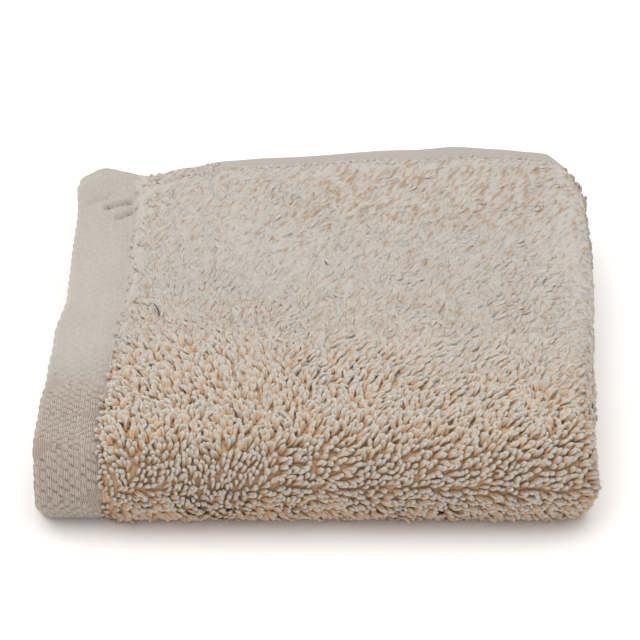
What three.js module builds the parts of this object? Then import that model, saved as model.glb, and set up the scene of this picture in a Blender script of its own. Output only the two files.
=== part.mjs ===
// A terry washcloth folded in quarters and laid flat.
// The cloth is one square sheet: looped pile in the middle, a flat woven border along two opposite
// ends and a narrow flat hem along the two sides. It is folded once at the right, so that both
// borders lie together at the left, and then once more round the front, which makes four layers.
// Millimetres, +X to the right, +Y to the back, +Z up. The origin is the bottom centre of the fold.
import * as THREE from "three";

// The flat cloth
const flatAcross = 300; // from one bordered end to the other
const flatAlong = 300; // from one side hem to the other
const borderWidth = 18;
const hemWidth = 7;

// Thickness, pile included, and the air left between the layers
const terryThickness = 5.8;
const borderThickness = 2.8;
const hemThickness = 3.8;
const airBetweenPairs = 0.6;
const airInMiddle = 1.6;
const pileRise = { before: 1, after: 2 }; // where the flat edge meets the pile
const rimRound = 1.5; // how far in from a cut edge the cloth reaches its full thickness
const rimShare = 0.5; // share of the thickness left right at the edge

// The front crease, where the rows of pile part on the sharpest bend
const creaseDepth = 1.1;
const creaseHalfWidth = 0.75;
const creaseAt = flatAlong / 2 - 1.8; // just above the middle of the bend

// The two bends
const pairRadius = terryThickness / 2 + airBetweenPairs / 2;
const stackRadius = pairRadius + terryThickness / 2 + airInMiddle / 2;
const fullHeight = 2 * (stackRadius + pairRadius) + terryThickness;
const straightAcross = (flatAcross - Math.PI * pairRadius) / 2;
const straightAlong = (flatAlong - Math.PI * stackRadius) / 2;
const foldedWidth = straightAcross + pairRadius + terryThickness / 2;

// How far the side edges lie to the right of a straight rectangle, from the front to the back
const sideShift = [
  { depth: -13, left: -2.6, right: 2.6 },
  { depth: 0, left: -3.4, right: 3.2 },
  { depth: 20, left: -2.4, right: 4.0 },
  { depth: 36, left: -0.8, right: 4.6 },
  { depth: 54, left: 0.5, right: 5.5 },
  { depth: 76, left: 3.7, right: 6.2 },
  { depth: 96, left: 4.2, right: 6.3 },
  { depth: 122, left: 5.2, right: 5.6 },
  { depth: 133, left: 4.8, right: 2.6 },
  { depth: 140, left: 6.0, right: -1.2 },
];

// How far the back edge lies behind a straight line, from the left to the right
const backShift = [
  { across: 0, back: -5.0 },
  { across: 7, back: -2.0 },
  { across: 14, back: -2.6 },
  { across: 24, back: -4.8 },
  { across: 34, back: -1.6 },
  { across: 46, back: 1.4 },
  { across: 64, back: 2.4 },
  { across: 104, back: 4.2 },
  { across: 118, back: 6.2 },
  { across: 130, back: 5.4 },
  { across: 143, back: 4.0 },
  { across: 156, back: -6.4 },
];

// The lower left corner of the front, which is drawn in and so rounded off
const cornerDrawnIn = 5;
const cornerReach = { right: 20, back: 2, bottom: 3, top: 10.5 };

// Share of the full height that the layers fill, from the left to the right
const heightShare = [
  { across: 0, front: 0.98, middle: 0.92, back: 0.91 },
  { across: 8, front: 0.98, middle: 0.92, back: 0.97 },
  { across: 18, front: 0.98, middle: 0.93, back: 0.9 },
  { across: 30, front: 0.98, middle: 0.97, back: 0.95 },
  { across: 60, front: 0.99, middle: 1.0, back: 1.01 },
  { across: 110, front: 0.97, middle: 1.01, back: 1.04 },
  { across: 153, front: 0.97, middle: 0.99, back: 1.04 },
];
const heightDepths = { front: -13, middle: 60, back: 140 };

// The soft swell of the top, as shares of the height
const swells = [
  { share: 0.022, across: 92, acrossPhase: 0.15, along: 74, alongPhase: 0.3 },
  { share: 0.014, across: 47, acrossPhase: 0.4, along: 58, alongPhase: 0.1 },
];

// Eases from 0 to 1 as value goes from low to high.
function ease(low, high, value) {
  return THREE.MathUtils.smoothstep(value, low, high);
}

// Reads a column of a table at a place between its rows, easing from row to row.
function read(table, place, column, at) {
  let row = 0;
  while (row < table.length - 2 && at > table[row + 1][place]) row += 1;
  const from = table[row];
  const to = table[row + 1];
  const share = ease(from[place], to[place], at);
  return THREE.MathUtils.lerp(from[column], to[column], share);
}

// Half the cloth's thickness at a distance from its bordered end and from its hemmed side.
function flatHalf(fromEnd, fromSide) {
  const woven = (fromSide < hemWidth ? hemThickness : borderThickness) / 2;
  const pile =
    ease(borderWidth - pileRise.before, borderWidth + pileRise.after, fromEnd) *
    ease(hemWidth - pileRise.before, hemWidth + pileRise.after, fromSide);
  return THREE.MathUtils.lerp(woven, terryThickness / 2, pile);
}

// The same, with the rounded cut edges.
function halfThickness(across, along) {
  const fromEnd = Math.min(across, flatAcross - across);
  const fromSide = Math.min(along, flatAlong - along);
  const edge = Math.min(1, fromEnd / rimRound) * Math.min(1, fromSide / rimRound);
  const rim = rimShare + (1 - rimShare) * Math.sin((edge * Math.PI) / 2);
  return flatHalf(fromEnd, fromSide) * rim;
}

// How deep the front crease goes into the outer face.
function crease(across, along, side) {
  if (side < 0 || across > straightAcross) return 0;
  const away = (along - creaseAt) / creaseHalfWidth;
  return creaseDepth * Math.exp(-away * away) * ease(borderWidth, borderWidth + 6, across);
}

// The first fold, at the right: turns the distance across into a place and a level in the pair.
function foldPair(across, offset) {
  const turn = THREE.MathUtils.clamp((across - straightAcross) / pairRadius, 0, Math.PI);
  const past = Math.max(0, across - straightAcross - Math.PI * pairRadius);
  const straight = Math.min(across, straightAcross) - past;
  const reach = pairRadius + offset;
  return { x: straight + reach * Math.sin(turn), level: reach * Math.cos(turn) };
}

// The second fold, round the front: turns the distance along into a depth and a height.
function foldStack(along, level) {
  const turn = THREE.MathUtils.clamp((along - straightAlong) / stackRadius, 0, Math.PI);
  const past = Math.max(0, along - straightAlong - Math.PI * stackRadius);
  const straight = straightAlong - Math.min(along, straightAlong) + past;
  const reach = stackRadius + level;
  return { y: straight - reach * Math.sin(turn), z: fullHeight / 2 + reach * Math.cos(turn) };
}

// How far the thin woven edges sink, so that they still rest on the layer below.
function sink(x, y) {
  return terryThickness / 2 - flatHalf(Math.max(0, x), Math.max(0, straightAlong - y));
}

// How high the layers stand at a place, as a share of the full height.
function standing(x, y) {
  const { front, middle, back } = heightDepths;
  const columns = y < middle ? ["front", "middle"] : ["middle", "back"];
  const [low, high] = columns.map((column) => read(heightShare, "across", column, x));
  const share = y < middle ? ease(front, middle, y) : ease(middle, back, y);
  const swell = swells.reduce((sum, s) => {
    const overAcross = Math.sin(2 * Math.PI * (x / s.across + s.acrossPhase));
    const overAlong = Math.sin(2 * Math.PI * (y / s.along + s.alongPhase));
    return sum + s.share * overAcross * overAlong;
  }, 0);
  return THREE.MathUtils.lerp(low, high, share) * (1 + swell);
}

// How far the lower left corner of the front is drawn in at a place.
function drawnIn(x, y, z) {
  const { right, back, bottom, top } = cornerReach;
  const low = THREE.MathUtils.clamp((top - z) / (top - bottom), 0, 1);
  const near = 1 - ease(heightDepths.front, back, y);
  return cornerDrawnIn * low ** 2.2 * near * (1 - ease(0, right, x));
}

// A point of the folded cloth: across and along the flat sheet, on its outer or inner side.
function place(across, along, side) {
  const half = halfThickness(across, along) - crease(across, along, side);
  const pair = foldPair(across, side * half);
  const { y, z } = foldStack(along, pair.level);
  const { x } = pair;
  const rightward = x / foldedWidth;
  const left = read(sideShift, "depth", "left", y) * (1 - rightward) ** 2;
  const right = read(sideShift, "depth", "right", y) * rightward ** 4;
  const back = read(backShift, "across", "back", x) * Math.max(0, y / straightAlong) ** 2;
  const height = (z - sink(x, y)) * standing(x, y);
  return new THREE.Vector3(x + left + right + drawnIn(x, y, height), y + back, height);
}

// Where the sheet is cut into faces: close at edges, at the start of the pile and in the bends.
function stations(total, straight, edgeSteps, flatSteps, bendSteps) {
  const half = edgeSteps.slice();
  const start = edgeSteps[edgeSteps.length - 1];
  for (let i = 1; i <= flatSteps; i += 1) {
    half.push(start + ((straight - start) * i) / flatSteps);
  }
  const bend = bendSteps.map((share) => total / 2 + share * (total / 2 - straight));
  const mirrored = half.map((at) => total - at).reverse();
  return [...half, ...bend, ...mirrored];
}

// One closed sheet: an outer and an inner face, joined round the cut edge.
function foldedSheet(acrossAt, alongAt) {
  const columns = acrossAt.length;
  const rows = alongAt.length;
  const points = [];
  for (const side of [1, -1]) {
    for (const along of alongAt) {
      for (const across of acrossAt) points.push(place(across, along, side));
    }
  }
  const index = [];
  const at = (side, row, column) => (side * rows + row) * columns + column;
  const quad = (a, b, c, d) => index.push(a, b, c, a, c, d);
  for (let row = 0; row < rows - 1; row += 1) {
    for (let column = 0; column < columns - 1; column += 1) {
      const corners = [
        [row, column],
        [row + 1, column],
        [row + 1, column + 1],
        [row, column + 1],
      ];
      quad(...corners.map(([r, c]) => at(0, r, c)));
      quad(...corners.reverse().map(([r, c]) => at(1, r, c)));
    }
  }
  for (let row = 0; row < rows - 1; row += 1) {
    quad(at(0, row, 0), at(1, row, 0), at(1, row + 1, 0), at(0, row + 1, 0));
    const last = columns - 1;
    quad(at(0, row + 1, last), at(1, row + 1, last), at(1, row, last), at(0, row, last));
  }
  for (let column = 0; column < columns - 1; column += 1) {
    quad(at(0, 0, column + 1), at(1, 0, column + 1), at(1, 0, column), at(0, 0, column));
    const last = rows - 1;
    quad(at(0, last, column), at(1, last, column), at(1, last, column + 1), at(0, last, column + 1));
  }
  const geometry = new THREE.BufferGeometry().setFromPoints(points);
  geometry.setIndex(index);
  geometry.computeVertexNormals();
  return geometry;
}

const borderSteps = [0, 0.6, 1.5, 5, 9, 13, 17, 18, 19, 20, 26, 34];
const hemSteps = [0, 0.6, 1.5, 4, 6, 7, 8, 9, 17, 27];
const rightBendSteps = [-0.72, -0.48, -0.24, 0, 0.24, 0.48, 0.72];
const frontBendSteps = [-0.8, -0.58, -0.38, -0.25, -0.166, -0.08, 0.05, 0.2, 0.38, 0.58, 0.8];
const flatSteps = { across: 10, along: 9 };

const cloth = new THREE.Mesh(
  foldedSheet(
    stations(flatAcross, straightAcross, borderSteps, flatSteps.across, rightBendSteps),
    stations(flatAlong, straightAlong, hemSteps, flatSteps.along, frontBendSteps),
  ),
  new THREE.MeshStandardMaterial({ color: 0xd8cab4, roughness: 0.95, metalness: 0 }),
);
cloth.name = "washcloth";

// The origin goes to the middle of the underside.
cloth.geometry.computeBoundingBox();
const box = cloth.geometry.boundingBox;
cloth.position.set(-(box.min.x + box.max.x) / 2, -(box.min.y + box.max.y) / 2, -box.min.z);

const washcloth = new THREE.Group();
washcloth.add(cloth);

export default washcloth;
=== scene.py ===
"""A beige terry washcloth, folded in quarters and laid flat.

The cloth is one square sheet. Across it runs from one flat woven border to the other, and along it
runs from one narrow side hem to the other. It is folded once at the right, so that both borders
lie together at the left, and then once more round the front. Every piece is worked out on the flat
cloth first, as a distance across, a distance along and a height over the middle of its thickness,
and is then carried through the same two folds.

The cloth's own sizes are in millimetres, and the meshes, lights and camera are in metres.
"""

import logging
import math
from dataclasses import dataclass, field
from enum import Enum

import bpy
import numpy as np
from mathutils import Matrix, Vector


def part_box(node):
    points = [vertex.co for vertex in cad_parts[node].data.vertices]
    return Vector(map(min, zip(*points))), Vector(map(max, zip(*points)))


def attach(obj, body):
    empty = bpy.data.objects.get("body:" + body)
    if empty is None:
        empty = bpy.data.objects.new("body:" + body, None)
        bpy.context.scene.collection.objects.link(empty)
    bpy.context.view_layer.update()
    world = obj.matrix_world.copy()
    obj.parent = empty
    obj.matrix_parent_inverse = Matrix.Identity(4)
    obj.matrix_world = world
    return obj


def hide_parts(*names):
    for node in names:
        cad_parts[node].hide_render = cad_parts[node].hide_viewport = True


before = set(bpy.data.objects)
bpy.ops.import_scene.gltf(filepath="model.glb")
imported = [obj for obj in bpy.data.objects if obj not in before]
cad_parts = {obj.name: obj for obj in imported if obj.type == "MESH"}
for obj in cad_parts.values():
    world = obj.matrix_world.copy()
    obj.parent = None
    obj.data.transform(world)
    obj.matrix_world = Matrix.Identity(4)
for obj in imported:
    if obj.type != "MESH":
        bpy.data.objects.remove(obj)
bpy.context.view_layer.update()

NODE = "washcloth"
BODY = "root"
MM = 0.001
SEED = 20261

# Millimetres of flat cloth for each unit of its UV map
FLAT_UNIT = 100.0

log = logging.getLogger("washcloth")


class Face(Enum):
    """The two faces of the cloth: OUTER shows on top, round the front and underneath."""

    OUTER = 1
    INNER = -1


class PileArea(Enum):
    """The stretches of pile, in order from the back edge over the top and round the front."""

    BACK = "pile_back"
    TOP = "pile_top"
    FORE = "pile_fore"
    FRONT = "pile_front"
    UNDERSIDE = "pile_underside"
    LOWER_SIDE = "pile_lower_side"


def ease(low: float, high: float, value: np.ndarray) -> np.ndarray:
    """Go smoothly from 0 at low to 1 at high, flat at both ends."""
    share = np.clip((value - low) / (high - low), 0.0, 1.0)
    return share * share * (3.0 - 2.0 * share)


def table_of(kind: type, *table: tuple) -> tuple:
    """Make one row of a kind from each tuple of values."""
    return tuple(kind(*values) for values in table)


def column(table: tuple, name: str) -> np.ndarray:
    """Take one named column out of a table of rows."""
    return np.array([getattr(row, name) for row in table], dtype=float)


def read(table: tuple, place: str, name: str, at: np.ndarray) -> np.ndarray:
    """Read a column of a table between its rows, easing from each row to the next.

    Args:
        table: rows in rising order of their place.
        place: name of the column that says where each row stands.
        name: name of the column that is read.
        at: places to read it at.

    Returns:
        The value at each place.
    """
    stations = column(table, place)
    values = column(table, name)
    row = np.clip(np.searchsorted(stations, at, side="left") - 1, 0, len(stations) - 2)
    share = ease(stations[row], stations[row + 1], at)
    return values[row] + (values[row + 1] - values[row]) * share


def unit(vectors: np.ndarray) -> np.ndarray:
    """Scale vectors to length one."""
    return vectors / np.maximum(np.linalg.norm(vectors, axis=-1, keepdims=True), 1e-12)


@dataclass(frozen=True)
class SideShift:
    """How far the side edges lie to the right of a straight rectangle, at one depth."""

    depth: float
    left: float
    right: float


@dataclass(frozen=True)
class BackShift:
    """How far the back edge lies behind a straight line, at one place across."""

    across: float
    back: float


@dataclass(frozen=True)
class Standing:
    """Share of the full height that the layers fill, at one place across."""

    across: float
    front: float
    middle: float
    back: float


@dataclass(frozen=True)
class Swell:
    """One soft wave of the top: its share of the height, its lengths and its phases."""

    share: float
    across: float
    across_phase: float
    along: float
    along_phase: float


@dataclass(frozen=True)
class Wrinkle:
    """A soft trough, or a ridge if its depth is negative, between two places on the cloth."""

    across: float
    along: float
    to_across: float
    to_along: float
    depth: float
    width: float


# Depth, left and right
SIDE_SHIFTS = table_of(
    SideShift,
    (-13.0, -2.6, 2.6),
    (0.0, -3.4, 3.2),
    (20.0, -2.4, 4.0),
    (36.0, -0.8, 4.6),
    (54.0, 0.5, 5.5),
    (76.0, 3.7, 6.2),
    (96.0, 4.2, 6.3),
    (122.0, 5.2, 5.6),
    (133.0, 4.8, 2.6),
    (140.0, 6.0, -1.2),
)

# Across and back
BACK_SHIFTS = table_of(
    BackShift,
    (0.0, -5.0),
    (7.0, -2.0),
    (14.0, -2.6),
    (24.0, -4.8),
    (34.0, -1.6),
    (46.0, 1.4),
    (64.0, 2.4),
    (104.0, 4.2),
    (118.0, 6.2),
    (130.0, 5.4),
    (143.0, 4.0),
    (156.0, -6.4),
)

# Across, front, middle and back
STANDINGS = table_of(
    Standing,
    (0.0, 0.98, 0.92, 0.9),
    (8.0, 0.98, 0.92, 0.935),
    (18.0, 0.98, 0.93, 0.885),
    (30.0, 0.98, 0.97, 0.95),
    (60.0, 0.99, 1.0, 1.01),
    (110.0, 0.97, 1.01, 1.04),
    (153.0, 0.97, 0.99, 1.04),
)

# Share, across, across phase, along and along phase
SWELLS = table_of(
    Swell,
    (0.022, 92.0, 0.15, 74.0, 0.3),
    (0.014, 47.0, 0.4, 58.0, 0.1),
)

# Across, along, to across, to along, depth and width
WRINKLES = table_of(
    Wrinkle,
    (9.0, 19.3, 16.5, 14.8, 1.3, 1.0),
    (12.8, 23.8, 17.5, 19.5, 1.0, 0.9),
    (4.0, 16.0, 9.0, 15.0, 0.5, 1.3),
    (12.0, 17.0, 18.0, 11.5, -0.5, 2.4),
    (9.0, 3.0, 13.0, 4.0, -0.2, 4.0),
)


@dataclass(frozen=True)
class PileState:
    """How the outer face's pile is at one place along.

    Ground is half the thickness of the matted cloth between the loops. Rising and bent are how far
    the loops are bent down at their roots and at their tips, in degrees. Pale is the share of the
    loops' colour ramp skipped at the root. It takes off the ramp's painted shade deep in the pile,
    so matted loops read lighter, which stands partly for their matting and partly for the grazing
    light on the top. Tip is how far up the ramp the tips go, towards its painted highlight, and it
    is lower below the crease, where its painted shade falls. Thick is how much of the yarn's
    thickness is left where it is pressed flat. Pale, tip and thick all run from 0 to 1.
    """

    along: float
    ground: float
    rising: float
    bent: float
    length: float
    pale: float
    tip: float
    thick: float


# Along, ground, rising, bent, length, pale, tip and thick
PILE_STATES = table_of(
    PileState,
    (8.0, 2.6, 82.0, 96.0, 2.8, 0.8, 0.88, 1.0),
    (16.0, 2.55, 80.0, 94.0, 3.1, 0.78, 0.88, 1.0),
    (38.0, 2.55, 80.0, 94.0, 3.3, 0.78, 0.88, 1.0),
    (52.0, 2.6, 80.0, 94.0, 3.3, 0.82, 0.88, 1.0),
    (90.0, 2.55, 74.0, 91.0, 3.4, 0.7, 0.9, 1.0),
    (118.0, 2.25, 56.0, 80.0, 3.7, 0.3, 0.98, 1.0),
    (136.0, 1.95, 40.0, 70.0, 3.6, 0.05, 0.98, 1.0),
    (146.0, 1.75, 30.0, 68.0, 3.1, 0.0, 0.96, 0.95),
    (152.0, 1.8, 36.0, 76.0, 2.9, 0.0, 0.88, 0.9),
    (157.0, 2.1, 60.0, 86.0, 3.0, 0.0, 0.65, 0.85),
    (185.0, 2.1, 62.0, 92.0, 2.9, 0.4, 0.85, 0.9),
    (292.0, 2.1, 66.0, 92.0, 2.7, 0.6, 0.85, 0.9),
)


@dataclass(frozen=True)
class PileMap:
    """Where the outer face's pile is matted, opened or loose on the flat cloth.

    The front edge of the matted pile isn't straight: it lies further back at the left and further
    down at the right, and slanting waves make it uneven, each with a size, a length across, one
    along and a phase. A pair holds the two places between which something comes or goes.
    """

    edge: float = 108.0
    edge_reach: float = 26.0
    back_at_left: float = 10.0
    left: tuple[float, float] = (30.0, 75.0)
    down_at_right: float = 13.0
    right: tuple[float, float] = (85.0, 122.0)
    waves: tuple = ((3.0, 8.0, 11.0, 0.0), (2.0, 4.3, -7.0, 1.0))
    all_matted: float = 0.75
    opened_across: tuple[float, float] = (45.0, 75.0)
    opened_from: tuple[float, float] = (9.0, 15.0)
    opened_until: tuple[float, float] = (32.0, 50.0)
    least_gaps: float = 0.5
    lower_in_fold: float = 0.5
    lower_opened: float = 0.2
    lower_at_hem: float = 0.6
    thinner_at_border: float = 0.14
    front: tuple[float, float] = (100.0, 130.0)

    def state(self, name: str, across: np.ndarray, along: np.ndarray) -> np.ndarray:
        """Read one column of the pile's table, further along where the matted edge is shifted."""
        shift = self.back_at_left * (1 - ease(*self.left, across))
        shift = shift - self.down_at_right * ease(*self.right, across)
        for size, across_length, along_length, phase in self.waves:
            turn = across / across_length + along / along_length + phase
            shift = shift + size * np.sin(turn)
        away = (along - self.edge) / self.edge_reach
        return read(PILE_STATES, "along", name, along + shift * np.exp(-away * away))

    def matted(self, across: np.ndarray, along: np.ndarray) -> np.ndarray:
        """How matted the pile is, from 0 where it is loose to 1."""
        return ease(0.0, self.all_matted, self.state("pale", across, along))

    def opened(self, across: np.ndarray, along: np.ndarray) -> np.ndarray:
        """Share of the band near the back where the matted pile has opened: its ground is lower and
        its gaps have the most painted shade.
        """
        inside = ease(*self.opened_across, across) * ease(*self.opened_from, along)
        return inside * (1 - ease(*self.opened_until, along))

    def gaps(self, across: np.ndarray, along: np.ndarray) -> np.ndarray:
        """How much painted shade the pile's gaps have: none in loose pile, most in the opened band.
        """
        share = self.least_gaps + (1 - self.least_gaps) * self.opened(across, along)
        return self.matted(across, along) * share

    def ground(self, cloth: "FoldedCloth", across: np.ndarray, along: np.ndarray) -> np.ndarray:
        """Half the thickness of the cloth between the loops.

        It is the table's, less round the first fold, in the opened band, at the hems and beside
        the border.
        """
        bend, hem, border = cloth.straight_across, cloth.hem, cloth.border
        level = self.state("ground", across, along)
        level = level - self.lower_in_fold * ease(bend - 8, bend + 2, across)
        level = level - self.lower_opened * self.opened(across, along)
        from_side = np.minimum(along, cloth.along - along)
        level = level - self.lower_at_hem * (1 - ease(hem - 1, hem + 2, from_side))
        thinner = self.thinner_at_border + self.thinner_at_border * ease(*self.front, along)
        return level * (1 - thinner * (1 - ease(border, border + 6, across)))


PILE_MAP = PileMap()


@dataclass(frozen=True)
class FoldedCloth:
    """The flat cloth, its thickness and its two folds, all in millimetres."""

    across: float = 300.0
    along: float = 300.0
    border: float = 18.0
    hem: float = 7.0
    terry_half: float = 2.9
    border_half: float = 1.4
    hem_half: float = 1.9
    ground_half: float = 0.65
    air_in_pairs: float = 0.6
    air_in_middle: float = 1.6
    front_depth: float = -13.0
    middle_depth: float = 60.0
    back_depth: float = 140.0
    crease_depth: float = 1.1
    crease_half_width: float = 1.1
    crease_over_middle: float = 1.8
    off_floor: float = 0.04
    corner_drawn_in: float = 5.0
    corner_right: float = 20.0
    corner_back: float = 2.0
    corner_bottom: float = 3.0
    corner_top: float = 10.5

    @property
    def pair_radius(self) -> float:
        """Radius of the first fold, to the middle of the cloth."""
        return self.terry_half + self.air_in_pairs / 2

    @property
    def stack_radius(self) -> float:
        """Radius of the second fold, to the middle of the pair of layers."""
        return self.pair_radius + self.terry_half + self.air_in_middle / 2

    @property
    def height(self) -> float:
        """Full height of the four layers."""
        return 2 * (self.stack_radius + self.pair_radius + self.terry_half)

    @property
    def straight_across(self) -> float:
        """Length of cloth from a bordered end to the start of the first fold."""
        return (self.across - math.pi * self.pair_radius) / 2

    @property
    def straight_along(self) -> float:
        """Length of cloth from a side hem to the start of the second fold."""
        return (self.along - math.pi * self.stack_radius) / 2

    @property
    def crease_along(self) -> float:
        """Place of the front crease, just above the middle of the bend."""
        return self.along / 2 - self.crease_over_middle

    @property
    def folded_width(self) -> float:
        """Width of the folded cloth before its edges are shifted."""
        return self.straight_across + self.pair_radius + self.terry_half

    def flat_half(self, from_end: np.ndarray, from_side: np.ndarray) -> np.ndarray:
        """Half the thickness, pile included: woven edges that rise smoothly into the pile."""
        woven = self.border_half - self.hem_half
        woven = self.hem_half + woven * ease(self.hem - 1, self.hem + 7, from_side)
        pile = ease(self.border - 1, self.border + 2, from_end)
        pile = pile * ease(self.hem - 1, self.hem + 2, from_side)
        return woven + (self.terry_half - woven) * pile

    def crease(self, across: np.ndarray, along: np.ndarray) -> np.ndarray:
        """Depth of the front crease: a bell across the bend that starts beside the border."""
        away = (along - self.crease_along) / self.crease_half_width
        fades = ease(self.border, self.border + 6, across)
        fades = fades * (1 - ease(self.straight_across - 4, self.straight_across + 4, across))
        return self.crease_depth * np.exp(-away * away) * fades

    @staticmethod
    def wrinkle(across: np.ndarray, along: np.ndarray) -> np.ndarray:
        """Depth of the small wrinkles: for each, a bell of the distance to its line."""
        depth = np.zeros_like(across)
        for line in WRINKLES:
            run = np.array([line.to_across - line.across, line.to_along - line.along])
            share = (across - line.across) * run[0] + (along - line.along) * run[1]
            share = np.clip(share / (run @ run), 0.0, 1.0)
            off_across = across - line.across - share * run[0]
            off_along = along - line.along - share * run[1]
            distance = np.hypot(off_across, off_along) / line.width
            depth = depth + line.depth * np.exp(-distance * distance)
        return depth

    def standing(self, x: np.ndarray, y: np.ndarray) -> np.ndarray:
        """Height share at a place: the table's share, times one plus the sum of the swells."""
        front_half = y < self.middle_depth
        share = np.where(
            front_half,
            ease(self.front_depth, self.middle_depth, y),
            ease(self.middle_depth, self.back_depth, y),
        )
        front, middle, back = (read(STANDINGS, "across", n, x) for n in ("front", "middle", "back"))
        low = np.where(front_half, front, middle)
        high = np.where(front_half, middle, back)
        swell = sum(
            s.share
            * np.sin(2 * math.pi * (x / s.across + s.across_phase))
            * np.sin(2 * math.pi * (y / s.along + s.along_phase))
            for s in SWELLS
        )
        return (low + (high - low) * share) * (1 + swell)

    def drawn_in(self, x: np.ndarray, y: np.ndarray, z: np.ndarray) -> np.ndarray:
        """Shift to the right that rounds off the lower left corner of the front."""
        low = np.clip((self.corner_top - z) / (self.corner_top - self.corner_bottom), 0, 1)
        near = 1 - ease(self.front_depth, self.corner_back, y)
        return self.corner_drawn_in * low**2.2 * near * (1 - ease(0, self.corner_right, x))

    def fold(self, across: np.ndarray, along: np.ndarray, over: np.ndarray) -> np.ndarray:
        """Carry places on the flat cloth through both folds.

        Each fold runs straight, then round a half circle, then straight back. The folded stack is
        then sunk where its edges are thin, scaled by its height share, and its side and back edges
        are shifted by their tables.

        Args:
            across: distance from the bordered end that lies on top.
            along: distance from the side hem that lies on top.
            over: height over the middle of the cloth's thickness, on its outer face.

        Returns:
            The folded places in millimetres, with x, y and z as the last axis.
        """
        turn = np.clip((across - self.straight_across) / self.pair_radius, 0, math.pi)
        past = across - self.straight_across - math.pi * self.pair_radius
        reach = self.pair_radius + over
        x = np.minimum(across, self.straight_across) - np.maximum(past, 0) + reach * np.sin(turn)
        level = reach * np.cos(turn)
        turn = np.clip((along - self.straight_along) / self.stack_radius, 0, math.pi)
        past = along - self.straight_along - math.pi * self.stack_radius
        reach = self.stack_radius + level
        y = self.straight_along - np.minimum(along, self.straight_along) + np.maximum(past, 0)
        y = y - reach * np.sin(turn)
        z = self.height / 2 + reach * np.cos(turn)
        from_side = np.maximum(self.straight_along - y, 0)
        sink = self.terry_half - self.flat_half(np.maximum(x, 0), from_side)
        rightward = x / self.folded_width
        left = read(SIDE_SHIFTS, "depth", "left", y) * (1 - rightward) ** 2
        right = read(SIDE_SHIFTS, "depth", "right", y) * rightward**4
        back = read(BACK_SHIFTS, "across", "back", x) * np.maximum(y / self.straight_along, 0) ** 2
        z = (z - sink) * self.standing(x, y)
        return np.stack([x + left + right + self.drawn_in(x, y, z), y + back, z], axis=-1)

    def placed(self, across: np.ndarray, along: np.ndarray, over: np.ndarray) -> np.ndarray:
        """Fold places of the flat cloth and move them to the model's frame, in metres."""
        places = (self.fold(across, along, over) + self.to_frame()) * MM
        places[..., 2] = np.maximum(places[..., 2], self.off_floor * MM)
        return places

    def to_frame(self) -> np.ndarray:
        """Shift from the fold's own frame to the model's, in millimetres.

        It brings the middle of the folded cloth's outline to the middle of the CAD node's box.
        """
        across, along = np.meshgrid(np.linspace(0, 160, 321), np.linspace(0, self.along, 601))
        half = self.flat_half(across, np.minimum(along, self.along - along))
        outline = self.fold(across, along, half).reshape(-1, 3)
        low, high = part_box(NODE)
        middle = (np.array(low) + np.array(high)) / (2 * MM)
        shift = middle - (outline.min(axis=0) + outline.max(axis=0)) / 2
        return np.array([shift[0], shift[1], 0.0])


def linked(name: str, data: bpy.types.ID) -> bpy.types.Object:
    """Make an object of some data and put it in the scene."""
    made = bpy.data.objects.new(name, data)
    bpy.context.scene.collection.objects.link(made)
    return made


@dataclass
class MeshData:
    """A mesh as whole arrays: its corners, its faces and one value for each corner by name."""

    vertices: np.ndarray
    quads: np.ndarray
    triangles: np.ndarray = field(default_factory=lambda: np.zeros((0, 3), dtype=np.int64))
    values: dict[str, np.ndarray] = field(default_factory=dict)
    flat: np.ndarray | None = None

    def triangle_count(self) -> int:
        """Number of triangles, with two for each quad."""
        return 2 * len(self.quads) + len(self.triangles)

    def volume(self) -> float:
        """Signed volume, from the tetrahedra between the faces and the origin."""
        split = np.concatenate([self.triangles, self.quads[:, [0, 1, 2]], self.quads[:, [0, 2, 3]]])
        a, b, c = (self.vertices[split[:, i]] for i in range(3))
        return float(np.einsum("ij,ij->i", a, np.cross(b, c)).sum() / 6)

    def faced_outwards(self) -> "MeshData":
        """Turn every face round if the mesh is inside out."""
        if self.volume() < 0:
            self.quads = self.quads[:, ::-1]
            self.triangles = self.triangles[:, ::-1]
        return self

    def to_object(self, name: str, material: bpy.types.Material) -> bpy.types.Object:
        """Put the arrays into a Blender mesh and dress it.

        Args:
            name: name of the piece.
            material: its finish.

        Returns:
            The new object, which rides on the cloth's body.
        """
        data = self.faced_outwards()
        mesh = bpy.data.meshes.new(name)
        corners = np.concatenate([data.quads.ravel(), data.triangles.ravel()]).astype(np.int32)
        sizes = np.concatenate([np.full(len(data.quads), 4), np.full(len(data.triangles), 3)])
        starts = np.concatenate([[0], np.cumsum(sizes)[:-1]]).astype(np.int32)
        mesh.vertices.add(len(data.vertices))
        mesh.vertices.foreach_set("co", data.vertices.astype(np.float32).ravel())
        mesh.loops.add(len(corners))
        mesh.loops.foreach_set("vertex_index", corners)
        mesh.polygons.add(len(sizes))
        mesh.polygons.foreach_set("loop_start", starts)
        mesh.polygons.foreach_set("use_smooth", np.ones(len(sizes), dtype=bool))
        mesh.update(calc_edges=True)
        mesh.validate()
        for key, value in data.values.items():
            kind, field_ = ("FLOAT", "value") if value.ndim == 1 else ("FLOAT_VECTOR", "vector")
            layer = mesh.attributes.new(key, kind, "POINT")
            layer.data.foreach_set(field_, value.astype(np.float32).ravel())
        if data.flat is not None:
            layer = mesh.uv_layers.new(name="flat_cloth")
            layer.data.foreach_set("uv", data.flat[corners].astype(np.float32).ravel())
        mesh.materials.append(material)
        piece = linked(name, mesh)
        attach(piece, BODY)
        log.info("%s: %d triangles", name, data.triangle_count())
        return piece


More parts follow.
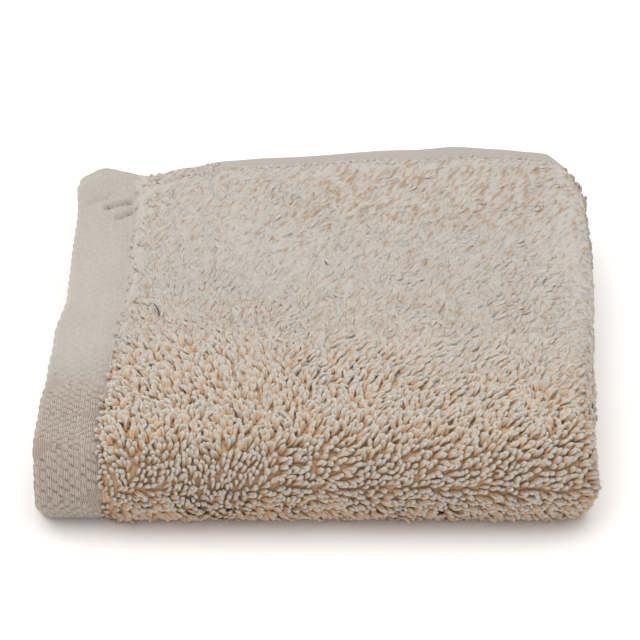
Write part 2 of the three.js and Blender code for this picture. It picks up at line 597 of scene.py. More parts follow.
def closed_sheet(
    outer: np.ndarray,
    inner: np.ndarray,
    across: np.ndarray,
    along: np.ndarray,
    values: dict[str, np.ndarray],
) -> MeshData:
    """Join two grids of points, one over the other, into one closed sheet.

    Args:
        outer: points of the outer face, rows by columns by three.
        inner: points of the inner face, in the same order.
        across: distance across the flat cloth of each point of a face.
        along: distance along it.
        values: further values of the points of a face, by name.

    Returns:
        The mesh of both faces and the rim between them.
    """
    rows, columns = outer.shape[:2]
    top = np.arange(rows * columns).reshape(rows, columns)
    low = top + rows * columns

    def strip(a: np.ndarray, b: np.ndarray) -> np.ndarray:
        """Quads between two rows of corners."""
        return np.stack([a[:-1], b[:-1], b[1:], a[1:]], axis=-1)

    faces = [
        np.stack([top[:-1, :-1], top[1:, :-1], top[1:, 1:], top[:-1, 1:]], axis=-1).reshape(-1, 4),
        np.stack([low[:-1, :-1], low[:-1, 1:], low[1:, 1:], low[1:, :-1]], axis=-1).reshape(-1, 4),
        strip(top[:, 0], low[:, 0]),
        strip(low[:, -1], top[:, -1]),
        strip(low[0], top[0]),
        strip(top[-1], low[-1]),
    ]
    flat = np.stack([across.ravel(), along.ravel()], axis=-1) / FLAT_UNIT
    return MeshData(
        vertices=np.concatenate([outer.reshape(-1, 3), inner.reshape(-1, 3)]),
        quads=np.concatenate(faces),
        values={name: np.tile(value.ravel(), 2) for name, value in values.items()},
        flat=np.tile(flat, (2, 1)),
    )


def stations(stops: tuple, steps: tuple) -> np.ndarray:
    """Places from stop to stop, evenly spaced between two stops at about the step named there."""
    parts = []
    for start, stop, step in zip(stops[:-1], stops[1:], steps):
        count = max(1, round((stop - start) / step))
        parts.append(np.linspace(start, stop, count, endpoint=False))
    return np.concatenate(parts + [[stops[-1]]])


def rounded_edge(distance: np.ndarray, reach: float, left: float) -> np.ndarray:
    """Share of the thickness near a cut edge: a quarter sine from its share there up to one."""
    share = np.clip(distance / reach, 0.0, 1.0)
    return left + (1 - left) * np.sin(share * math.pi / 2)


def srgb(red: int, green: int, blue: int) -> tuple[float, float, float, float]:
    """Turn an 8-bit sRGB colour into the linear colour that the shaders take."""
    share = np.array([red, green, blue]) / 255.0
    linear = np.where(share <= 0.04045, share / 12.92, ((share + 0.055) / 1.055) ** 2.4)
    return (*(float(c) for c in linear), 1.0)


class Graph:
    """A node tree with short calls for adding and joining nodes."""

    def __init__(self, tree: bpy.types.NodeTree) -> None:
        """Start on a tree, empty of the nodes that Blender puts there."""
        self.tree = tree
        tree.nodes.clear()

    def add(self, kind: str, inputs: dict | None = None, **settings: object) -> bpy.types.Node:
        """Add a node.

        Args:
            kind: the node's type.
            inputs: value or output socket for each input, by its name or number.
            settings: the node's own settings by name.

        Returns:
            The new node.
        """
        node = self.tree.nodes.new(kind)
        for name, value in settings.items():
            setattr(node, name, value)
        for key, value in (inputs or {}).items():
            if isinstance(value, bpy.types.NodeSocket):
                self.tree.links.new(value, node.inputs[key])
            else:
                node.inputs[key].default_value = value
        return node

    def math(self, operation: str, *values: object) -> bpy.types.NodeSocket:
        """Add a Math node and return its result."""
        inputs = dict(enumerate(values))
        return self.add("ShaderNodeMath", inputs, operation=operation).outputs[0]

    def mix(self, share: bpy.types.NodeSocket, low: object, high: object) -> bpy.types.NodeSocket:
        """Mix two colours by a share from 0 to 1."""
        inputs = {0: share, 6: low, 7: high}
        return self.add("ShaderNodeMix", inputs, data_type="RGBA").outputs[2]

    def attribute(self, name: str, output: str = "Fac") -> bpy.types.NodeSocket:
        """Read one of the piece's own values."""
        node = self.add("ShaderNodeAttribute", attribute_type="GEOMETRY", attribute_name=name)
        return node.outputs[output]

    def place(self) -> bpy.types.NodeSocket:
        """The piece's own coordinates."""
        return self.add("ShaderNodeTexCoord").outputs["Object"]

    def flat(self) -> bpy.types.bpy_prop_collection:
        """The place on the flat cloth, first across and then along."""
        place = self.add("ShaderNodeUVMap", uv_map="flat_cloth").outputs[0]
        return self.add("ShaderNodeSeparateXYZ", {0: place}).outputs

    def noise(self, scale: float, detail: float = 2.0) -> bpy.types.NodeSocket:
        """Noise from 0 to 1 on the piece's own coordinates, with its scale for each metre."""
        inputs = {"Vector": self.place(), "Scale": scale, "Detail": detail, "Roughness": 0.55}
        return self.add("ShaderNodeTexNoise", inputs).outputs["Fac"]


def cotton_group() -> bpy.types.NodeTree:
    """Node group for undyed cotton, shared by every finish.

    The colour is brightened and darkened by a broad patchiness, a finer one and the piece's own
    tone, and the height is the fuzz of the fibres for a bump.

    Returns:
        The group, made once.
    """
    name = "undyed_cotton"
    if name in bpy.data.node_groups:
        return bpy.data.node_groups[name]
    tree = bpy.data.node_groups.new(name, "ShaderNodeTree")
    for label, kind, preset in (
        ("Colour", "NodeSocketColor", (0.5, 0.5, 0.5, 1.0)),
        ("Tone", "NodeSocketFloat", 0.5),
        ("Tone Share", "NodeSocketFloat", 0.1),
        ("Patch Share", "NodeSocketFloat", 0.1),
        ("Fleck Share", "NodeSocketFloat", 0.1),
    ):
        socket = tree.interface.new_socket(name=label, in_out="INPUT", socket_type=kind)
        socket.default_value = preset
    tree.interface.new_socket(name="Colour", in_out="OUTPUT", socket_type="NodeSocketColor")
    tree.interface.new_socket(name="Fuzz", in_out="OUTPUT", socket_type="NodeSocketFloat")
    graph = Graph(tree)
    given = graph.add("NodeGroupInput").outputs
    broad = graph.math("MULTIPLY", graph.math("SUBTRACT", graph.noise(28.0), 0.5), given[3])
    fleck = graph.math("MULTIPLY", graph.math("SUBTRACT", graph.noise(1700.0), 0.5), given[4])
    tone = graph.math("MULTIPLY", graph.math("SUBTRACT", given[1], 0.5), given[2])
    total = graph.math("ADD", 1.0, graph.math("ADD", tone, graph.math("ADD", broad, fleck)))
    scaled = graph.add("ShaderNodeVectorMath", {0: given[0], "Scale": total}, operation="SCALE")
    fuzz = graph.noise(2600.0, detail=3.0)
    graph.add("NodeGroupOutput", {"Colour": scaled.outputs[0], "Fuzz": fuzz})
    return tree


# The painted shade in the gaps of matted pile: its slant in radians, its stretch, how many strokes
# there are to a metre, the noise they start at and how much lower it is where they are most, and
# how sharp their edges are
GAP_SLANT = -0.5
GAP_STRETCH = (1.0, 3.2, 2.0)
GAP_SCALE = 950.0
GAP_START = 0.59
GAP_LOWER_START = 0.12
GAP_EDGE = 5.0


def painted_gap_shade_group() -> bpy.types.NodeTree:
    """Node group for the painted shade in the gaps of matted pile, shared by the loops and their
    ground.

    They are short slanting strokes that stand where a stretched noise is high, and the more of them
    there are the lower that noise has to be.

    Returns:
        The group, made once.
    """
    name = "brown_gaps"
    if name in bpy.data.node_groups:
        return bpy.data.node_groups[name]
    tree = bpy.data.node_groups.new(name, "ShaderNodeTree")
    tree.interface.new_socket(name="Share", in_out="INPUT", socket_type="NodeSocketFloat")
    tree.interface.new_socket(name="Gap", in_out="OUTPUT", socket_type="NodeSocketFloat")
    graph = Graph(tree)
    share = graph.add("NodeGroupInput").outputs[0]
    turned = {
        "Vector": graph.place(),
        "Rotation": (0.0, 0.0, GAP_SLANT),
        "Scale": GAP_STRETCH,
    }
    place = graph.add("ShaderNodeMapping", turned, vector_type="TEXTURE").outputs[0]
    inputs = {"Vector": place, "Scale": GAP_SCALE, "Detail": 2.0, "Roughness": 0.5}
    high = graph.add("ShaderNodeTexNoise", inputs).outputs["Fac"]
    start = graph.math("MULTIPLY_ADD", share, -GAP_LOWER_START, GAP_START)
    gap = graph.math("MULTIPLY", graph.math("SUBTRACT", high, start), GAP_EDGE)
    gap = graph.math("MINIMUM", graph.math("MAXIMUM", gap, 0.0), 1.0)
    strength = graph.math("MINIMUM", graph.math("MULTIPLY", share, 2.0), 1.0)
    graph.add("NodeGroupOutput", {"Gap": graph.math("MULTIPLY", gap, strength)})
    return tree


@dataclass(frozen=True)
class CottonFinish:
    """What every cotton finish shares: its group's values, its gloss and its fuzz."""

    name: str
    tone_share: float = 0.12
    patch_share: float = 0.1
    fleck_share: float = 0.08
    roughness: float = 0.92
    sheen: float = 0.25
    fuzz: float = 0.2
    fuzz_height: float = 0.00012

    def colour(self, graph: Graph) -> object:
        """Colour before patchiness and tone."""
        raise NotImplementedError

    def tone(self, graph: Graph) -> object:
        """Tone of the yarn, from 0 to 1."""
        return 0.5

    def relief(self, graph: Graph, fuzz: bpy.types.NodeSocket) -> bpy.types.NodeSocket:
        """Height for the bump."""
        return fuzz

    @staticmethod
    def gaps(graph: Graph) -> bpy.types.NodeSocket:
        """Mask of the painted shade in the gaps, as much as the piece's own gap share says."""
        inputs = {"Share": graph.attribute("gap_share")}
        return graph.add("ShaderNodeGroup", inputs, node_tree=painted_gap_shade_group()).outputs[0]

    def facing(self, graph: Graph) -> bpy.types.NodeSocket | None:
        """Normal before the bump, or nothing for the piece's own."""
        return None

    def build(self) -> bpy.types.Material:
        """Make the material."""
        material = bpy.data.materials.new(self.name)
        material.use_nodes = True
        graph = Graph(material.node_tree)
        inputs = {
            "Colour": self.colour(graph),
            "Tone": self.tone(graph),
            "Tone Share": self.tone_share,
            "Patch Share": self.patch_share,
            "Fleck Share": self.fleck_share,
        }
        cotton = graph.add("ShaderNodeGroup", inputs, node_tree=cotton_group())
        height = self.relief(graph, cotton.outputs["Fuzz"])
        inputs = {"Strength": self.fuzz, "Distance": self.fuzz_height, "Height": height}
        bump = graph.add("ShaderNodeBump", inputs)
        facing = self.facing(graph)
        if facing is not None:
            graph.tree.links.new(facing, bump.inputs["Normal"])
        shader = graph.add(
            "ShaderNodeBsdfPrincipled",
            {
                "Base Color": cotton.outputs["Colour"],
                "Normal": bump.outputs[0],
                "Roughness": self.roughness,
                "Specular IOR Level": 0.2,
                "Sheen Weight": self.sheen,
                "Sheen Roughness": 0.5,
            },
        )
        graph.add("ShaderNodeOutputMaterial", {"Surface": shader.outputs[0]})
        return material


@dataclass(frozen=True)
class LoopFinish(CottonFinish):
    """Soft loops with painted light and shade: warm painted shade at the root, grey where matted,
    and a painted highlight, palest, at a loose tip.
    """

    name: str = "terry_loops"
    # Root and leg are painted warm shade deep in the pile, tip is a painted highlight, and gap is
    # painted shade in the gaps of matted pile
    root: tuple = srgb(196, 154, 116)
    leg: tuple = srgb(191, 159, 127)
    matted: tuple = srgb(185, 179, 171)
    tip: tuple = srgb(200, 190, 175)
    gap: tuple = srgb(168, 144, 121)
    leg_at: float = 0.62
    matted_at: float = 0.86
    blurred: float = 0.65
    tone_share: float = 0.12
    fleck_share: float = 0.06

    def colour(self, graph: Graph) -> bpy.types.NodeSocket:
        """Ramp from the root's painted shade over the leg's and the matted pile's colour to the
        tip's painted highlight, with painted shade mixed in at the gaps.
        """
        ramp = graph.add("ShaderNodeValToRGB", {"Fac": graph.attribute("root_to_tip")})
        stops = ramp.color_ramp.elements
        stops[0].position, stops[0].color = 0.0, self.root
        stops[1].position, stops[1].color = 1.0, self.tip
        for place, colour in ((self.leg_at, self.leg), (self.matted_at, self.matted)):
            stops.new(place).color = colour
        # Painted shade in the gaps of matted pile
        return graph.mix(self.gaps(graph), ramp.outputs["Color"], self.gap)

    def tone(self, graph: Graph) -> bpy.types.NodeSocket:
        """Each loop's own tone."""
        return graph.attribute("tone")

    def facing(self, graph: Graph) -> bpy.types.NodeSocket:
        """The yarn's normal, turned part of the way to the cloth's as if fibres blurred it."""
        own = graph.add("ShaderNodeNewGeometry").outputs["Normal"]
        out = graph.attribute("cloth_out", "Vector")
        mixed = graph.add("ShaderNodeMix", {0: self.blurred, 4: own, 5: out}, data_type="VECTOR")
        inputs = {0: mixed.outputs[1]}
        return graph.add("ShaderNodeVectorMath", inputs, operation="NORMALIZE").outputs[0]


@dataclass(frozen=True)
class WovenFinish(CottonFinish):
    """Flat woven cotton: threads along the border, with painted shade down between the floats and
    the threads.
    """

    name: str = "woven_border"
    # Low is painted shade in the weave's recesses and the wrinkles' troughs; high is the cotton's
    # own colour
    low: tuple = srgb(134, 106, 84)
    high: tuple = srgb(184, 179, 171)
    thread_pitch: float = 0.47
    thread_share: float = 0.7
    float_share: float = 1.0
    patch_share: float = 0.2
    fuzz: float = 0.6
    fuzz_height: float = 0.00016
    tone_share: float = 0.1

    def threads(self, graph: Graph) -> bpy.types.NodeSocket:
        """Height of the threads: a sine across the cloth, on the flat cloth's own coordinates."""
        across = graph.flat()[0]
        turns = graph.math("MULTIPLY", across, 2 * math.pi * FLAT_UNIT / self.thread_pitch)
        turns = graph.math("ADD", turns, graph.attribute("thread_phase"))
        wander = graph.math("MULTIPLY", graph.noise(240.0), 20.0)
        wave = graph.math("SINE", graph.math("ADD", turns, wander))
        return graph.math("MULTIPLY_ADD", wave, 0.5, 0.5)

    def colour(self, graph: Graph) -> bpy.types.NodeSocket:
        """Mix from the low colour, painted shade between the floats, between the threads and in the
        wrinkles' troughs, to the high one, with less painted shade where the border is worn flat.
        """
        gaps = graph.math("SUBTRACT", 1.0, graph.attribute("float_height"))
        between = graph.math("SUBTRACT", 1.0, self.threads(graph))
        shade = graph.math("MULTIPLY", gaps, self.float_share)
        shade = graph.math("MULTIPLY_ADD", between, self.thread_share, shade)
        # The painted shade is scaled by how much relief is left and deepened in the wrinkles'
        # troughs
        shade = graph.math("MULTIPLY", shade, graph.attribute("relief_shade"))
        return graph.mix(graph.math("SUBTRACT", 1.0, shade), self.low, self.high)

    def relief(self, graph: Graph, fuzz: bpy.types.NodeSocket) -> bpy.types.NodeSocket:
        """Threads with a little fuzz on them."""
        return graph.math("ADD", self.threads(graph), graph.math("MULTIPLY", fuzz, 0.5))


@dataclass(frozen=True)
class PlainFinish(CottonFinish):
    """Plain cotton of one colour, for sewing and fibres."""

    name: str = "sewing_thread"
    base: tuple = srgb(204, 199, 192)

    def colour(self, graph: Graph) -> tuple:
        """The one colour."""
        return self.base


@dataclass(frozen=True)
class GroundFinish(CottonFinish):
    """The cloth between the loops, painted warm for the shade deep in the pile, and its hems, pale
    and plainly woven.
    """

    name: str = "ground_cloth"
    # Base is painted warm shade deep in the pile, pale takes it off where the pile is matted, and
    # gap is painted shade in the gaps
    base: tuple = srgb(199, 163, 128)
    gap: tuple = srgb(160, 136, 114)
    pale: tuple = srgb(181, 175, 167)
    hem: tuple = srgb(166, 160, 153)
    weave_pitch: float = 0.8
    weave_share: float = 0.14
    fuzz: float = 0.5

    def weave(self, graph: Graph) -> bpy.types.NodeSocket:
        """Plain weave: the product of a sine across and a sine along the flat cloth."""
        parts = graph.flat()
        turns = 2 * math.pi * FLAT_UNIT / self.weave_pitch
        waves = [graph.math("SINE", graph.math("MULTIPLY", parts[i], turns)) for i in (0, 1)]
        return graph.math("MULTIPLY_ADD", graph.math("MULTIPLY", *waves), 0.5, 0.5)

    def colour(self, graph: Graph) -> bpy.types.NodeSocket:
        """Mix from the ground's colour to the hem's, shaded by the weave.

        The ground has the painted warm shade deep in the pile, or is pale where it is matted. There
        it has small gaps of painted shade.
        """
        shade = graph.math("MULTIPLY", self.weave(graph), self.weave_share)
        share = graph.math("SUBTRACT", graph.attribute("hem"), shade)
        # Painted shade in the gaps of the matted ground, and painted warm shade deep in the loose
        # pile
        pale = graph.mix(self.gaps(graph), self.pale, self.gap)
        ground = graph.mix(graph.attribute("matted"), self.base, pale)
        return graph.mix(share, ground, self.hem)

    def relief(self, graph: Graph, fuzz: bpy.types.NodeSocket) -> bpy.types.NodeSocket:
        """The weave with fuzz on it."""
        return graph.math("ADD", self.weave(graph), fuzz)


@dataclass
class GroundCloth:
    """The sheet that the loops stand on, with its two side hems.

    Where its pile shows, its face lies low between the loops. Where layers press on each other, its
    face is the level of the flattened pile.
    """

    cloth: FoldedCloth
    finish: CottonFinish
    tuck: float = 0.6
    pressed_half: float = 2.4
    pressed_relief: float = 0.35
    coarse: float = 2.6
    close: float = 0.8
    edge_reach: float = 1.4
    edge_share: float = 0.45
    ripple_across: float = 2.9
    ripple_along: float = 2.4
    under_border: float = 0.8
    crease_share: float = 0.5
    hem_covered: tuple[float, float] = (36.0, 52.0)
    matted_in_fold: float = 0.65

    def heights(self, across: np.ndarray, along: np.ndarray, face: Face) -> np.ndarray:
        """Height of one face over the middle of the cloth.

        It is the ground's own half thickness where loops stand, the pressed pile's where layers
        lie on each other with a small ripple for its loops, and the hem's along the two sides.
        """
        cloth = self.cloth
        from_side = np.minimum(along, cloth.along - along)
        from_end = np.minimum(across, cloth.across - across)
        ripple = np.sin(across * self.ripple_across + np.sin(along))
        ripple = ripple * np.sin(along * self.ripple_along)
        pressed = self.pressed_half + self.pressed_relief * ripple
        hidden = ease(cloth.straight_across + 6, cloth.straight_across + 11, across)
        hidden = np.ones_like(across) if face is Face.INNER else hidden
        ground = PILE_MAP.ground(cloth, across, along)
        pile = ground + (pressed - ground) * hidden
        beside = 1 - ease(cloth.border - 0.5, cloth.border + 1.4, from_end)
        pile = pile + (cloth.border_half * self.under_border - pile) * beside
        at_hem = 1 - ease(cloth.hem - 0.6, cloth.hem + 2, from_side)
        half = pile + (cloth.hem_half - pile) * at_hem
        half = half * rounded_edge(from_side, self.edge_reach, self.edge_share)
        trough = cloth.crease(across, along) if face is Face.OUTER else 0.0
        return face.value * (half - self.crease_share * trough)

    def build(self) -> bpy.types.Object:
        """Make the sheet as one closed mesh."""
        cloth = self.cloth
        first = cloth.border - self.tuck
        bend = cloth.straight_across
        far = cloth.across - bend
        across = stations(
            (first, first + 3, bend, far, cloth.across - first - 3, cloth.across - first),
            (self.close, self.coarse, self.close, self.coarse, self.close),
        )
        start = cloth.straight_along
        hem = cloth.hem
        near = (0.0, 1.5, hem + 1.5, start)
        mirrored = tuple(cloth.along - stop for stop in reversed(near))
        steps = (self.close / 2, self.close, self.coarse)
        along = stations(near + mirrored, steps + (self.close,) + steps[::-1])
        u, v = np.meshgrid(across, along)
        faces = [cloth.placed(u, v, self.heights(u, v, face)) for face in Face]
        from_side = np.minimum(v, cloth.along - v)
        covered = (1 - ease(*self.hem_covered, u)) * (v < cloth.along / 2)
        hem_mask = (1 - ease(hem - 1.5, hem + 2.0, from_side)) * (1 - covered)
        # The matted share takes the painted warm shade off the ground, mostly round the first fold
        # too, and the gap share places painted shade in the matted pile's gaps
        turned = self.matted_in_fold * ease(bend - 1.0, bend + 6.0, u)
        matted = np.maximum(PILE_MAP.matted(u, v), turned)
        values = {"hem": hem_mask, "matted": matted, "gap_share": PILE_MAP.gaps(u, v)}
        data = closed_sheet(*faces, u, v, values)
        sheet = data.to_object("ground_cloth", self.finish.build())
        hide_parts(NODE)
        return sheet


@dataclass
class WovenBorder:
    """A flat woven border: floats in a zigzag ribbon, and a rounded, scalloped outer edge."""

    cloth: FoldedCloth
    finish: CottonFinish
    float_width: float = 1.55
    float_length: float = 2.9
    float_step: float = 1.36
    float_height: float = 0.9
    pattern_period: float = 32.0
    pattern_start: float = 124.5
    side_gap: float = 0.25
    triangle_width: float = 6.0
    triangle_half: float = 5.2
    plain_pitch: float = 1.1
    plain_share: float = 0.6
    worn_share: float = 0.3
    worn_until: float = 88.0
    fresh_from: float = 122.0
    scallop_pitch: float = 4.2
    scallop: float = 0.4
    scallop_reach: float = 2.6
    overlap: float = 0.6
    edge_reach: float = 1.6
    edge_share: float = 0.4
    tucked_share: float = 0.4
    level_float: float = 0.7
    level_scallop: float = 0.4
    scallop_rise: float = 0.25
    # Painted shade added in the troughs of the wrinkles
    painted_shade_in_wrinkles: float = 0.7

    def along_border(self, along: np.ndarray) -> np.ndarray:
        """Length of cloth along the border's outer face, which is longer round the bend."""
        cloth = self.cloth
        stretch = (cloth.pair_radius + cloth.border_half) / cloth.stack_radius
        bent = np.clip(along - cloth.straight_along, 0, math.pi * cloth.stack_radius)
        return along + stretch * bent

    def folded(self, along: np.ndarray) -> np.ndarray:
        """Distance along as a triangle wave, which turns the pattern back at every half period."""
        run = self.along_border(along) - self.pattern_start
        return np.abs(run % self.pattern_period - self.pattern_period / 2)

    def cells(self, across: np.ndarray, folded: np.ndarray) -> tuple[np.ndarray, ...]:
        """Cells of the floats: lane and its number, steps along the lane and their number."""
        lane = across / self.float_width
        number = np.floor(lane)
        start = number * self.float_step + 0.9 * self.chance(number, 7.0)
        start = start + 0.5 * self.float_step * (lane - number)
        steps = (folded - start) / self.float_length
        return lane, number, steps, np.floor(steps)

    def phase(self, across: np.ndarray, along: np.ndarray) -> np.ndarray:
        """Shift of the threads in radians, new for every float."""
        _, number, _, which = self.cells(across, self.folded(along))
        return 2 * math.pi * self.chance(number + 3.0, which)

    def floats(self, across: np.ndarray, along: np.ndarray) -> np.ndarray:
        """Height of the woven floats, from 0 between them to 1 on top of one.

        Each column of floats starts a step later than the one beside it, so that their ends line up
        in slanting rows. Triangles of small plain crossings stand on both edges in turn.
        """
        half_period = self.pattern_period / 2
        run = self.along_border(along) - self.pattern_start
        folded = self.folded(along)
        slope = self.triangle_width / self.triangle_half
        to_right = self.triangle_width - slope * (half_period - folded)
        to_left = self.triangle_width - slope * folded
        inside = np.maximum(to_right - (self.cloth.border - across), to_left - across)
        plain_area = ease(-0.5, 0.5, inside)
        lane, number, steps, which = self.cells(across, folded)
        off_end = np.abs(2 * (steps - which) - 1)
        off_side = np.abs(2 * (lane - number) - 1)
        end_gap = off_end**4 * (0.25 + 0.75 * self.chance(number, which)) * (1 - 0.7 * off_side**2)
        rise = 1 - np.maximum(end_gap, self.side_gap * off_side**5)
        turn = 2 * math.pi / self.plain_pitch
        plain = 0.5 + 0.5 * np.sin(across * turn) * np.sin(run * turn)
        plain = self.plain_share + (1 - self.plain_share) * plain
        return rise + (plain - rise) * plain_area

    @staticmethod
    def chance(row: np.ndarray, column: np.ndarray) -> np.ndarray:
        """A fixed number from 0 to 1 for each cell: the fraction of a large sine."""
        return np.sin(row * 12.9898 + column * 78.233) * 43758.5453 % 1.0

    def wear(self, along: np.ndarray) -> np.ndarray:
        """Share of the floats' height that is left, pressed flat at the back and unworn in front;
        the painted shade between the floats follows it.
        """
        relief_shade = ease(self.worn_until, self.fresh_from, np.minimum(along, self.cloth.along - along))
        return self.worn_share + (1 - self.worn_share) * relief_shade

    def strip(self, across: np.ndarray, along: np.ndarray, far: bool) -> MeshData:
        """One border as a closed strip.

        Args:
            across: distances from the bordered end.
            along: distances along it.
            far: True for the border on the far end of the cloth, whose relief stays low.

        Returns:
            The strip's mesh, with the height of its floats and its flat coordinates.
        """
        cloth = self.cloth
        end, v = np.meshgrid(across, along)
        side = np.minimum(v, cloth.along - v)
        at_hem = 1 - ease(cloth.hem + 0.5, cloth.hem + 8.0, side)
        half = cloth.border_half + (cloth.hem_half - cloth.border_half) * at_hem
        half = half * rounded_edge(end, self.edge_reach, self.edge_share)
        half = half * rounded_edge(side, self.edge_reach, self.edge_share)
        tucked = ease(cloth.border - 0.4, cloth.border + self.overlap, end)
        half = half * (1 - self.tucked_share * tucked)
        bulge = np.abs(np.sin(math.pi * v / self.scallop_pitch))
        rim = 1 - ease(0, self.scallop_reach, end)
        floats = self.floats(end, v)
        raised = self.float_height * (floats - self.level_float) * self.wear(v)
        raised = raised * ease(0.2, 1.4, end) + self.scallop_rise * self.scallop * bulge * rim
        place = end - self.scallop * rim * (bulge - self.level_scallop)
        u = cloth.across - place if far else place
        trough = np.zeros_like(u) if far else cloth.wrinkle(end, v)
        outer = cloth.placed(u, v, half + raised - trough)
        inner = cloth.placed(u, v, -half - raised)
        values = {
            "float_height": floats,
            "thread_phase": self.phase(end, v),
            # How much painted shade lies between the floats: less where they are worn flat, more in
            # the wrinkles' troughs
            "relief_shade": self.wear(v) + self.painted_shade_in_wrinkles * np.clip(trough, 0, 1),
        }
        return closed_sheet(outer, inner, end, v, values)

    def build(self) -> list[bpy.types.Object]:
        """Make the border that shows and the one folded under it."""
        width = self.cloth.border + self.overlap
        material = self.finish.build()
        stops = (0.0, 8.0, 100.0, 138.0, 162.0, 292.0, 300.0)
        shown = self.strip(
            stations((0.0, 1.2, width), (0.24, 0.31)),
            stations(stops, (0.4, 0.7, 0.42, 0.25, 1.2, 0.5)),
            far=False,
        )
        under = self.strip(
            stations((0.0, 1.2, width), (0.3, 0.9)),
            stations((0.0, 8.0, 292.0, 300.0), (0.5, 1.0, 0.5)),
            far=True,
        )
        return [
            shown.to_object("woven_border", material),
            under.to_object("woven_border_under", material),
        ]


def tube_faces(rings: int, sides: int) -> tuple[np.ndarray, np.ndarray]:
    """Faces of one closed tube: quads between its rings, and a fan of triangles at each end."""
    ring = np.arange(rings - 1)[:, None] * sides
    side = np.arange(sides)[None, :]
    after = (side + 1) % sides
    quads = np.stack([ring + side, ring + after, ring + after, ring + side], axis=-1)
    quads = quads + np.array([0, 0, sides, sides])
    first = rings * sides
    last_ring = (rings - 1) * sides
    side, after = side[0], after[0]
    start = np.stack([after, side, np.full_like(side, first)], axis=-1)
    stop = np.stack([last_ring + side, last_ring + after, np.full_like(side, first + 1)], axis=-1)
    return quads.reshape(-1, 4), np.concatenate([start, stop])


def tubes(
    line: np.ndarray,
    up: np.ndarray,
    side: np.ndarray,
    radius: np.ndarray | float,
    sides: int,
    flattened: np.ndarray | float = 1.0,
) -> np.ndarray:
    """Corners of closed tubes: rings round the inner points of each line, then its two ends.

    Args:
        line: points along the middle of each tube, tubes by points by three.
        up: unit vectors square to the line.
        side: unit vectors square to both.
        radius: radius of the rings.
        sides: number of corners in a ring.
        flattened: factor on the radius in the direction of up.

    Returns:
        The corners, tubes by corners by three.
    """
    turns = np.arange(sides) * 2 * math.pi / sides
    ring = np.cos(turns)[:, None] * up[:, 1:-1, None, :] * flattened
    ring = ring + np.sin(turns)[:, None] * side[:, 1:-1, None, :]
    rings = (line[:, 1:-1, None, :] + ring * radius).reshape(len(line), -1, 3)
    return np.concatenate([rings, line[:, :1], line[:, -1:]], axis=1)


def tube_mesh(points: np.ndarray, rings: int, sides: int, values: dict | None = None) -> MeshData:
    """Make one mesh of many tubes, given their corners as tubes gives them."""
    quads, triangles = tube_faces(rings, sides)
    start = np.arange(len(points))[:, None, None] * points.shape[1]
    return MeshData(
        vertices=points.reshape(-1, 3),
        quads=(quads[None] + start).reshape(-1, 4),
        triangles=(triangles[None] + start).reshape(-1, 3),
        values=values or {},
    )


@dataclass(frozen=True)
class Combed:
    """A place on the pile, the way its loops lean there and how far that reaches.

    The lean is in degrees: 0 towards the back, 90 to the right, 180 towards the front.
    """

    across: float
    along: float
    lean: float
    reach: float
    strength: float = 1.0


@dataclass(frozen=True)
class Parting:
    """A line across the pile where the loops part: they lean away from it on both sides."""

    along: float
    start: float
    stop: float
    strength: float
    reach: float = 2.2


@dataclass(frozen=True)
class Tuft:
    """A few loops that stick out past the others."""

    across: float
    along: float
    lean: float
    reach: float
    longer: float


# Across, along, lean, reach and strength
COMBED = table_of(
    Combed,
    (40.0, 12.0, 20.0, 22.0),
    (75.0, 25.0, 40.0, 30.0),
    (120.0, 22.0, 55.0, 30.0),
    (30.0, 50.0, 5.0, 25.0),
    (75.0, 60.0, 10.0, 30.0),
    (125.0, 60.0, 30.0, 30.0),
    (30.0, 90.0, -20.0, 18.0),
    (26.0, 118.0, -35.0, 14.0),
    (50.0, 130.0, -12.0, 18.0),
    (85.0, 128.0, 12.0, 16.0),
    (100.0, 112.0, 48.0, 16.0),
    (120.0, 128.0, 35.0, 20.0),
    (140.0, 115.0, 15.0, 20.0),
    (34.0, 149.0, 50.0, 7.0, 1.2),
    (60.0, 148.0, 62.0, 7.0, 1.6),
    (84.0, 148.5, 74.0, 8.0, 1.6),
    (112.0, 148.5, 78.0, 9.0, 1.6),
    (138.0, 148.5, 84.0, 9.0, 1.4),
    (22.0, 143.0, -20.0, 5.0),
    (22.0, 152.0, 55.0, 5.0),
    (30.0, 157.0, 150.0, 9.0),
    (80.0, 157.0, 115.0, 14.0),
    (130.0, 157.0, 105.0, 14.0),
)

# Along, start, stop, strength and reach
PARTINGS = table_of(
    Parting,
    (148.2, 24.0, 149.0, 0.3, 1.3),
    (142.6, 24.0, 62.0, 0.3, 1.2),
    (152.6, 24.0, 90.0, 0.4, 1.2),
    (29.0, 80.0, 150.0, 0.8, 1.8),
    (21.0, 100.0, 145.0, 0.7, 1.6),
)

# Across, along, lean, reach and longer
TUFTS = table_of(
    Tuft,
    (151.0, 112.5, 60.0, 2.6, 1.35),
    (150.0, 147.5, 80.0, 2.6, 1.3),
    (150.0, 151.5, 90.0, 2.2, 1.25),
    (22.0, 157.5, 185.0, 3.6, 1.3),
)


@dataclass(frozen=True)
class LoopShape:
    """How finely a loop is made.

    The rises are the rings of one leg, as shares of the loop's length, and the spreads are their
    distances from the loop's middle line, as shares of its half width. One more ring is on its tip.
    """

    rises: tuple[float, ...]
    spreads: tuple[float, ...]
    sides: int

    @property
    def rings(self) -> int:
        """Number of rings along the whole yarn."""
        return 2 * len(self.rises) + 1

    def path(self, root_spread: float) -> tuple[np.ndarray, np.ndarray]:
        """Rise and spread of the yarn from one root over the tip to the other root."""
        up, out = np.array(self.rises), np.array(self.spreads)
        rise = np.concatenate([[0.0], up, [1.0], up[::-1], [0.0]])
        spread = np.concatenate([[root_spread], out, [0.0], -out[::-1], [-root_spread]])
        return rise, spread


